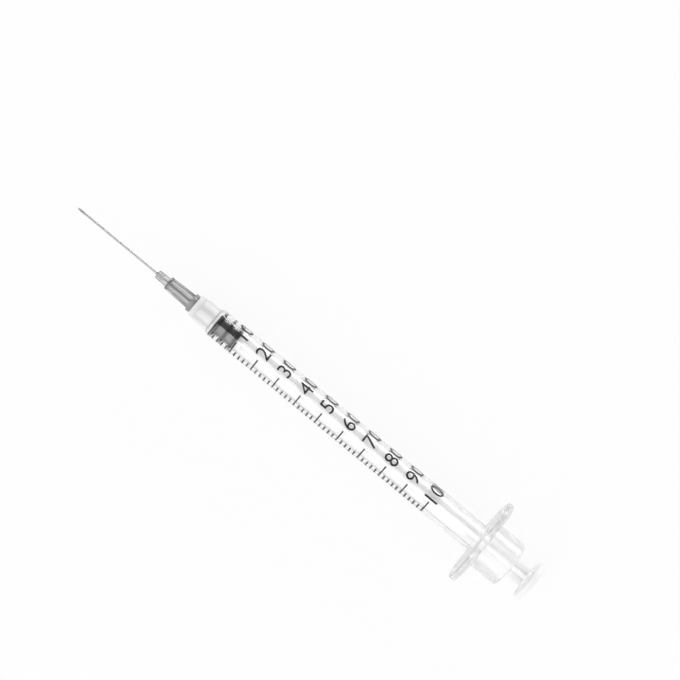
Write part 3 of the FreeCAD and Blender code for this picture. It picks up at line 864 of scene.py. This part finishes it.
def ribbed(x, out):
    """Section of the hub's body: four ribs on a round core, both wider towards the flange."""
    share = (x - HUB_RING_REAR) / (HUB_FLANGE_FRONT - HUB_RING_REAR)
    core = CORE_R + CORE_GAIN * share
    tip = RIB_TIP_R + RIB_TIP_GAIN * share
    eighth = [(tip, 0), (tip, RIB_HALF * 0.5)]
    for degrees in range(0, 91, 30):
        turn = math.radians(degrees)
        eighth.append((tip - RIB_EASE + RIB_EASE * math.cos(turn),
                       RIB_HALF - RIB_EASE + RIB_EASE * math.sin(turn)))
    # A small fillet where the rib leaves the core.
    eighth.append((core + 0.08, RIB_HALF))
    eighth.append((core * 0.985, RIB_HALF + 0.03))
    for degrees in (18, 22, 26, 30, 31.6, 33.5, 37.7, 41, 45):
        turn = math.radians(degrees)
        eighth.append((core * math.cos(turn), core * math.sin(turn)))
    return four_fold(x, eighth)


RIB_ANGLES = [math.atan2(z, y) for x, y, z in ribbed(HUB_FLANGE_FRONT, 0)]


def eared(x, reach):
    """The hub flange's outline: a circle with a square ear on each side.

    All of it is drawn in by HUB_EAR_REACH - reach, which rounds the edges."""
    inset = HUB_EAR_REACH - reach
    loop = []
    for angle in RIB_ANGLES:
        across = abs(math.sin(angle))
        ear = min(reach, (HUB_EAR_HALF - inset) / across if across > 0.1 else reach)
        if math.cos(angle) ** 2 < EAR_SPREAD:
            ear = 0
        radius = max(HUB_FLANGE_R - inset, ear)
        loop.append((x, radius * math.cos(angle), radius * math.sin(angle)))
    return loop


hub = skin("hub_moulding", loops_of([
    (HUB_NOSE_X, WELL_R, 0.05),
    (HUB_NOSE_X, HUB_NOSE_TIP_R, 0.18),
    (HUB_RING_FRONT, HUB_NOSE_ROOT_R, 0.08),
    (HUB_RING_FRONT, HUB_RING_R, 0.10),
    (HUB_RING_REAR, HUB_RING_R, 0.06),
    (HUB_RING_REAR, HUB_BODY_R, 0, ribbed),
    (HUB_FLANGE_FRONT, HUB_BODY_R, 0, ribbed),
    (HUB_FLANGE_FRONT, HUB_EAR_REACH, 0.08, eared),
    (HUB_FLANGE_REAR, HUB_EAR_REACH, 0.08, eared),
    (HUB_FLANGE_REAR, SOCKET_R, 0.06),
    (SOCKET_END, SOCKET_R, 0.08),
    (SOCKET_END, SOCKET_MOUTH_R, 0.06),
    (SOCKET_FLOOR, SOCKET_FLOOR_R, 0.05),
    (SOCKET_FLOOR, PASSAGE_R, 0.04),
    (NEEDLE_REAR, PASSAGE_R),
    (NEEDLE_REAR, NEEDLE_HOLE_R),
    (WELL_FLOOR, NEEDLE_HOLE_R),
    (WELL_FLOOR, WELL_R, 0.04),
], partial(ring, angles=RIB_ANGLES)), grey_pp)
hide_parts("needle_hub")
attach(hub, "needle")

lugs = evaluated_piece("hub_lugs", thread, {
    "Starts": 2, "Turns": LUG_TURNS, "Rise": LEAD * LUG_TURNS * MM,
    "Middle Radius": (SOCKET_R + LUG_CREST_R) / 2 * MM,
    "Height": (LUG_CREST_R - SOCKET_R) * MM,
    "Inner Width": LUG_ROOT_WIDTH * MM, "Outer Width": LUG_CREST_WIDTH * MM,
    "Start X": (LUG_MIDDLE_X - LEAD * LUG_TURNS / 2) * MM,
    "Start Angle": math.radians(LUG_START), "Finish": grey_pp})
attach(lugs, "needle")


# Needle: drawn stainless tube, ground to a long bevel with two side facets that make its point,
# bonded into the hub's nose.
NEEDLE_POINT = -38.0
NEEDLE_R = 0.25
NEEDLE_BORE_R = 0.13

# Drawn stainless tube: a grey metal with fine lines along it, left by the die. They are drawn
# 0.05 mm wide, some five times too coarse, so that they show.
steel, tree, shader, spot = new_material("drawn_stainless_tube", {"Metallic": 1.0})
drawn = add_node(tree, "ShaderNodeMapping", inputs={
    "Vector": spot, "Scale": (1 / (6 * MM), 1 / (0.05 * MM), 1 / (0.05 * MM))})
lines = add_node(tree, "ShaderNodeTexNoise", inputs={
    "Vector": drawn.outputs["Vector"], "Scale": 1.0, "Detail": 2.0})
tone = add_node(tree, "ShaderNodeValToRGB", inputs={"Fac": lines.outputs["Fac"]})
tone.color_ramp.elements[0].color = linear("a4a4a4")
tone.color_ramp.elements[1].color = linear("bababa")
gloss = add_node(tree, "ShaderNodeMapRange", inputs={
    "Value": lines.outputs["Fac"], "To Min": 0.25, "To Max": 0.45})
set_inputs(tree, shader, {
    "Base Color": tone.outputs["Color"], "Roughness": gloss.outputs["Result"]})

needle = skin("needle_tube", loops_of([
    (NEEDLE_POINT, NEEDLE_BORE_R),
    (NEEDLE_POINT, NEEDLE_R),
    (NEEDLE_REAR, NEEDLE_R, 0.03),
    (NEEDLE_REAR, NEEDLE_BORE_R),
], partial(ring, angles=spread(48)), steps=3), steel)
ground = bmesh.new()
ground.from_mesh(needle.data)
point = Vector((NEEDLE_POINT, 0, -NEEDLE_R)) * MM
for grind_angle, roll in ((12, 0), (18, 35), (18, -35)):
    slope = math.radians(grind_angle)
    tilt = math.radians(roll)
    across = math.cos(slope)
    facing = Vector((-math.sin(slope), -across * math.sin(tilt), across * math.cos(tilt)))
    cut = bmesh.ops.bisect_plane(ground, geom=ground.verts[:] + ground.edges[:] + ground.faces[:],
                                 plane_co=point, plane_no=facing, clear_outer=True)
    rims = [item for item in cut["geom_cut"] if isinstance(item, bmesh.types.BMEdge)]
    bmesh.ops.triangle_fill(ground, edges=rims, use_beauty=True, normal=facing)
bmesh.ops.recalc_face_normals(ground, faces=ground.faces)
ground.to_mesh(needle.data)
ground.free()
needle.data.set_sharp_from_angle(angle=SHARP_EDGE)
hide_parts("cannula")
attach(needle, "needle")


# Bonding bead: clear adhesive cured in the nose's well, with a small meniscus up the needle.
BEAD_REAR = -14.72
BEAD_RIM = -16.20
BEAD_TOP = -16.50
BEAD_R = 0.58

# Cured adhesive: clear and glossy, with a skin that dried unevenly.
cured, tree, shader, spot = new_material("cured_adhesive", {
    "Base Color": linear("f0f0f0"), "IOR": 1.5, "Transmission Weight": 0.85})
cast = add_node(tree, "ShaderNodeTexNoise", inputs={
    "Vector": spot, "Scale": 1 / (0.3 * MM), "Detail": 2.0})
gloss = add_node(tree, "ShaderNodeMapRange", inputs={
    "Value": cast.outputs["Fac"], "To Min": 0.05, "To Max": 0.18})
set_inputs(tree, shader, {"Roughness": gloss.outputs["Result"]})

bead = skin("bonding_bead", loops_of([
    (BEAD_REAR, NEEDLE_HOLE_R),
    (BEAD_REAR, BEAD_R, 0.04),
    (BEAD_RIM, BEAD_R, 0.03),
    (-16.24, 0.44),
    (-16.32, 0.34),
    (BEAD_TOP, 0.275),
    (BEAD_TOP, NEEDLE_HOLE_R),
]), cured)
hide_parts("needle_adhesive")
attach(bead, "needle_carrier")


# Floor: a matt white sheet under the syringe. It mostly glows, so that it shows as plain white,
# and the small share of it that is lit keeps the syringe's faint shadow.
FLOOR_Z = cad_box[0][2] - 0.02 * MM
FLOOR_REACH = 1.5
SHADOW_SHARE = 0.12


def background_rays(tree):
    """Light Path's sockets, and one that is 1 for rays that show the background.

    Those come from the camera, or on from it by way of gloss or clear plastic."""
    path = add_node(tree, "ShaderNodeLightPath").outputs
    mirrored = add_node(tree, "ShaderNodeMath", MAXIMUM, {
        0: path["Is Camera Ray"], 1: path["Is Glossy Ray"]})
    seen = add_node(tree, "ShaderNodeMath", MAXIMUM, {
        0: mirrored.outputs[0], 1: path["Is Transmission Ray"]})
    return path, seen.outputs[0]


paper = bpy.data.materials.new("white_sheet")
paper.use_nodes = True
tree = paper.node_tree
tree.nodes.clear()
path, seen = background_rays(tree)
matt = add_node(tree, "ShaderNodeBsdfDiffuse", inputs={"Color": linear("f4f4f4")})
glow = add_node(tree, "ShaderNodeEmission", inputs={"Color": (1, 1, 1, 1), "Strength": 1.0})
white = add_node(tree, "ShaderNodeMixShader", inputs={
    "Fac": SHADOW_SHARE, 1: glow.outputs[0], 2: matt.outputs[0]})
shown = add_node(tree, "ShaderNodeMixShader", inputs={
    "Fac": seen, 1: matt.outputs[0], 2: white.outputs[0]})
add_node(tree, "ShaderNodeOutputMaterial", inputs={"Surface": shown.outputs[0]})

sheet = bpy.data.meshes.new("floor")
corners = [(-1, -1), (1, -1), (1, 1), (-1, 1)]
sheet.from_pydata([(x * FLOOR_REACH, y * FLOOR_REACH, FLOOR_Z) for x, y in corners],
                  [], [(0, 1, 2, 3)])
sheet.materials.append(paper)
floor = new_object("floor", sheet)


# Light: a white tent with a dark card hung high on the +Y side, a tall strip box on the -Y side
# and a low one on the +Y side, which show as bands along everything round. The camera sees plain
# white behind the syringe. The tent's diffuse light is a little dimmer than its reflections, so
# that pale plastic doesn't clip, and the card takes less from it than from them.
DIFFUSE_LEVEL = 0.83
DIFFUSE_SHADE = 0.4
WHITE = (1, 1, 1, 1)
CARD_GREY = (0.05, 0.05, 0.05, 1)
MIDDLE_X = 0.022

world = bpy.data.worlds.new("tent")
bpy.context.scene.world = world
world.use_nodes = True
tree = world.node_tree
tree.nodes.clear()
direction = add_node(tree, "ShaderNodeTexCoord")
split = add_node(tree, "ShaderNodeSeparateXYZ", inputs={"Vector": direction.outputs["Generated"]})
away = add_node(tree, "ShaderNodeMath", {"operation": "ABSOLUTE"}, {0: split.outputs["X"]})
card_ends = add_node(tree, "ShaderNodeMapRange", SMOOTH, {
    "Value": away.outputs[0], "From Min": 0.45, "From Max": 0.32})
card_top = add_node(tree, "ShaderNodeMapRange", SMOOTH, {
    "Value": split.outputs["Y"], "From Min": 0.02, "From Max": 0.10})
card_foot = add_node(tree, "ShaderNodeMapRange", SMOOTH, {
    "Value": split.outputs["Z"], "From Min": 0.44, "From Max": 0.54})
path, seen = background_rays(tree)
shade = add_node(tree, "ShaderNodeMapRange", inputs={
    "Value": path["Diffuse Depth"], "To Min": 1.0, "To Max": DIFFUSE_SHADE})
card = card_ends.outputs["Result"]
for share in (card_top, card_foot, shade):
    product = add_node(tree, "ShaderNodeMath", MULTIPLY, {0: card, 1: share.outputs["Result"]})
    card = product.outputs[0]
walls = add_node(tree, "ShaderNodeMix", COLOURS, {
    "Factor": card, MIX_A: WHITE, MIX_B: CARD_GREY})
pick = add_node(tree, "ShaderNodeMix", COLOURS, {
    "Factor": path["Is Camera Ray"], MIX_A: walls.outputs[MIXED], MIX_B: WHITE})
level = add_node(tree, "ShaderNodeMapRange", inputs={
    "Value": seen, "To Min": DIFFUSE_LEVEL, "To Max": 1.0})
sky = add_node(tree, "ShaderNodeBackground", inputs={
    "Color": pick.outputs[MIXED], "Strength": level.outputs["Result"]})
add_node(tree, "ShaderNodeOutputWorld", inputs={"Surface": sky.outputs[0]})

for name, away, tilt, width, height, radiance in (
        ("tall_strip", 0.6, -38.5, 0.22, 0.89, 2.1),
        ("low_strip", 0.8, 81.0, 0.35, 0.17, 10.0)):
    lamp_data = bpy.data.lights.new(name, "AREA")
    lamp_data.shape = "RECTANGLE"
    lamp_data.size = width
    lamp_data.size_y = height
    lamp_data.energy = radiance * math.pi * width * height
    lamp = new_object(name, lamp_data)
    lean = math.radians(tilt)
    lamp.location = (MIDDLE_X, away * math.sin(lean), away * math.cos(lean))
    lamp.rotation_euler = (-lean, 0, 0)


# Camera: straight above, turned so that the needle points to the upper left.
CAMERA_HEIGHT = 0.43
CAMERA_Y = 0.01365
CAMERA_TURN = 39.6
FRAME_WIDTH = 0.1422
SENSOR_WIDTH = 36.0
camera_data = bpy.data.cameras.new("camera")
camera_data.sensor_width = SENSOR_WIDTH
camera_data.lens = SENSOR_WIDTH * CAMERA_HEIGHT / FRAME_WIDTH
camera_data.clip_start = 0.01
camera = new_object("camera", camera_data)
camera.location = (MIDDLE_X, CAMERA_Y, CAMERA_HEIGHT)
camera.rotation_euler = (0, 0, math.radians(CAMERA_TURN))
bpy.context.scene.camera = camera
bpy.context.scene.view_settings.view_transform = "Standard"
